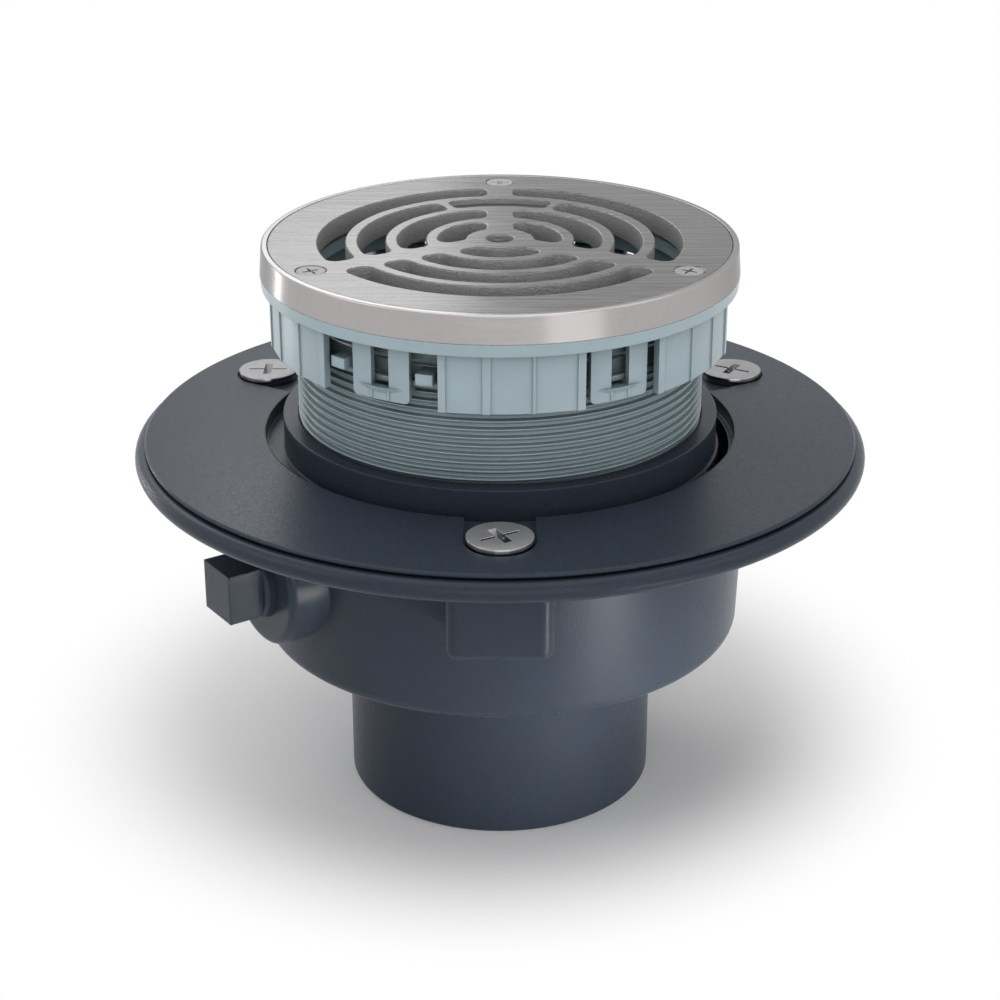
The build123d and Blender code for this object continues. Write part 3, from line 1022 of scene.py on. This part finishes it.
class FLOORDRAIN_OT_grate_screws(bpy.types.Operator):
    """Models the countersunk grate screws"""

    bl_idname = "floordrain.grate_screws"
    bl_label = "Grate screws"

    def execute(self, context):
        low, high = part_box("grate_screw_back")
        length = high.z - low.z
        sizes = context.scene.drain_screws
        head_radius = sizes.grate_head_radius
        shank_radius = sizes.grate_shank_radius
        edge_in, edge_down = GRATE_HEAD_EDGE
        profile = (
            (0, 0),
            (head_radius - edge_in, 0),
            (head_radius, -edge_down),
            (shank_radius, -sizes.grate_head_height),
            (shank_radius, -length + GRATE_TIP_EDGE),
            (shank_radius - GRATE_TIP_EDGE, -length),
            (0, -length),
        )
        screw = draw_profile("grate_screw", profile)
        apply_modifier(
            screw,
            "SCREW",
            axis="Z",
            angle=math.tau,
            steps=48,
            render_steps=48,
            use_merge_vertices=True,
            merge_threshold=1e-6,
        )
        turn_outwards(screw)
        cut_recess(screw, GRATE_SLOT, GRATE_WING)
        turn_outwards(screw)
        shade(screw, 30)
        place_copies(screw, "grate_screw_", GRATE_SCREW_TURNS)
        return {"FINISHED"}


class FLOORDRAIN_OT_stage(bpy.types.Operator):
    """Adds the floor, the background, the lamps and the camera"""

    bl_idname = "floordrain.stage"
    bl_label = "Stage"

    def execute(self, context):
        settings = context.scene.drain_stage
        self.add_floor()
        self.add_world(context, settings)
        for name, place, target, size, spread, power, tint in LAMPS:
            self.add_lamp(name, place, target, size, spread, power * settings.lamp_power, tint)
        self.add_camera(context, settings)
        context.scene.view_settings.view_transform = "Standard"
        return {"FINISHED"}

    def add_floor(self):
        """Lays a pale floor that fades into the white background away from the drain."""
        deselect_all()
        bpy.ops.mesh.primitive_circle_add(
            vertices=96, radius=FLOOR_RADIUS, fill_type="NGON", location=(0, 0, 0)
        )
        floor = bpy.context.object
        floor.name = "studio_floor"
        material = bpy.data.materials.new("studio_floor")
        material.use_nodes = True
        tree = material.node_tree
        link = tree.links.new
        tree.nodes.clear()
        leave = add_node(tree, "ShaderNodeOutputMaterial")
        matt = add_node(tree, "ShaderNodeBsdfDiffuse", inputs={"Color": FLOOR_COLOUR})
        white = add_node(tree, "ShaderNodeEmission", inputs={"Strength": 1.0})
        place = add_node(tree, "ShaderNodeTexCoord")
        centre = add_node(
            tree, "ShaderNodeVectorMath", operation="SUBTRACT", inputs={1: SHADOW_CENTRE}
        )
        reach = add_node(tree, "ShaderNodeVectorMath", operation="LENGTH")
        link(place.outputs["Object"], centre.inputs[0])
        link(centre.outputs[0], reach.inputs[0])
        fade = add_node(
            tree,
            "ShaderNodeMapRange",
            interpolation_type="SMOOTHSTEP",
            inputs={"From Min": SHADOW_RADII[0], "From Max": SHADOW_RADII[1]},
        )
        link(reach.outputs["Value"], fade.inputs["Value"])
        rays = add_node(tree, "ShaderNodeLightPath")
        seen = add_node(tree, "ShaderNodeMath", operation="MAXIMUM")
        link(rays.outputs["Is Camera Ray"], seen.inputs[0])
        link(rays.outputs["Is Glossy Ray"], seen.inputs[1])
        factor = add_node(tree, "ShaderNodeMath", operation="MULTIPLY")
        link(fade.outputs[0], factor.inputs[0])
        link(seen.outputs[0], factor.inputs[1])
        blend = add_node(tree, "ShaderNodeMixShader")
        link(factor.outputs[0], blend.inputs[0])
        link(matt.outputs[0], blend.inputs[1])
        link(white.outputs[0], blend.inputs[2])
        link(blend.outputs[0], leave.inputs["Surface"])
        floor.data.materials.append(material)

    def add_world(self, context, settings):
        """Lights matt surfaces evenly and shows white to the camera and in gloss."""
        world = bpy.data.worlds.new("studio_world")
        context.scene.world = world
        world.use_nodes = True
        tree = world.node_tree
        link = tree.links.new
        tree.nodes.clear()
        leave = add_node(tree, "ShaderNodeOutputWorld")
        soft = add_node(tree, "ShaderNodeBackground", inputs={"Strength": settings.ambient})
        white = add_node(tree, "ShaderNodeBackground", inputs={"Strength": 1.0})
        for background in (soft, white):
            background.inputs["Color"].default_value = (*WHITE, 1)
        rays = add_node(tree, "ShaderNodeLightPath")
        first = add_node(tree, "ShaderNodeMath", operation="MAXIMUM")
        second = add_node(tree, "ShaderNodeMath", operation="MAXIMUM")
        link(rays.outputs["Is Camera Ray"], first.inputs[0])
        link(rays.outputs["Is Glossy Ray"], first.inputs[1])
        link(first.outputs[0], second.inputs[0])
        link(rays.outputs["Is Transmission Ray"], second.inputs[1])
        blend = add_node(tree, "ShaderNodeMixShader")
        link(second.outputs[0], blend.inputs[0])
        link(soft.outputs[0], blend.inputs[1])
        link(white.outputs[0], blend.inputs[2])
        link(blend.outputs[0], leave.inputs["Surface"])

    def add_lamp(self, name, place, target, size, spread, power, tint):
        """Adds a soft lamp that faces its target."""
        deselect_all()
        aim = (Vector(target) - Vector(place)).to_track_quat("-Z", "Y").to_euler()
        bpy.ops.object.light_add(type="AREA", location=place, rotation=aim)
        lamp = bpy.context.object
        lamp.name = name
        lamp.data.shape = "RECTANGLE"
        lamp.data.size, lamp.data.size_y = size
        lamp.data.spread = math.radians(spread)
        lamp.data.energy = power
        lamp.data.color = tint
        lamp.visible_camera = False

    def add_camera(self, context, settings):
        """Puts the camera where the photograph was taken from."""
        deselect_all()
        place = (0, -settings.camera_distance, settings.camera_height)
        lean = (math.pi / 2 - settings.camera_pitch, 0, 0)
        bpy.ops.object.camera_add(location=place, rotation=lean)
        camera = bpy.context.object
        camera.name = "photo_camera"
        camera.data.lens = settings.lens
        camera.data.sensor_width = 36.0
        camera.data.clip_start = 0.01
        camera.data.clip_end = 20.0
        context.scene.camera = camera


class FLOORDRAIN_PT_panel(bpy.types.Panel):
    """Sizes, colours and steps of the floor drain"""

    bl_idname = "FLOORDRAIN_PT_panel"
    bl_label = "Floor drain"
    bl_space_type = "VIEW_3D"
    bl_region_type = "UI"
    bl_category = "Floor drain"

    def draw(self, context):
        layout = self.layout
        scene = context.scene
        sizes = (scene.drain_shank, scene.drain_screws)
        for group in sizes + (scene.drain_colours, scene.drain_stage):
            box = layout.box()
            for key in group.__annotations__:
                box.prop(group, key)
        for step in STEPS:
            layout.operator(step.bl_idname)


STEPS = (
    FLOORDRAIN_OT_finishes,
    FLOORDRAIN_OT_shank,
    FLOORDRAIN_OT_clamp_screws,
    FLOORDRAIN_OT_grate_screws,
    FLOORDRAIN_OT_stage,
)
GROUPS = (ShankSizes, ScrewSizes, FinishColours, StageSettings)


def register():
    """Registers the classes and hangs the settings on the scene."""
    for item in GROUPS + STEPS + (FLOORDRAIN_PT_panel,):
        bpy.utils.register_class(item)
    bpy.types.Scene.drain_shank = PointerProperty(type=ShankSizes)
    bpy.types.Scene.drain_screws = PointerProperty(type=ScrewSizes)
    bpy.types.Scene.drain_colours = PointerProperty(type=FinishColours)
    bpy.types.Scene.drain_stage = PointerProperty(type=StageSettings)


def unregister():
    """Takes the settings and the classes away again."""
    del bpy.types.Scene.drain_stage
    del bpy.types.Scene.drain_colours
    del bpy.types.Scene.drain_screws
    del bpy.types.Scene.drain_shank
    for item in reversed(GROUPS + STEPS + (FLOORDRAIN_PT_panel,)):
        bpy.utils.unregister_class(item)


def main():
    register()
    bpy.ops.floordrain.finishes()
    bpy.ops.floordrain.shank()
    bpy.ops.floordrain.clamp_screws()
    bpy.ops.floordrain.grate_screws()
    bpy.ops.floordrain.stage()
    bpy.context.view_layer.update()


if __name__ == "__main__":
    main()
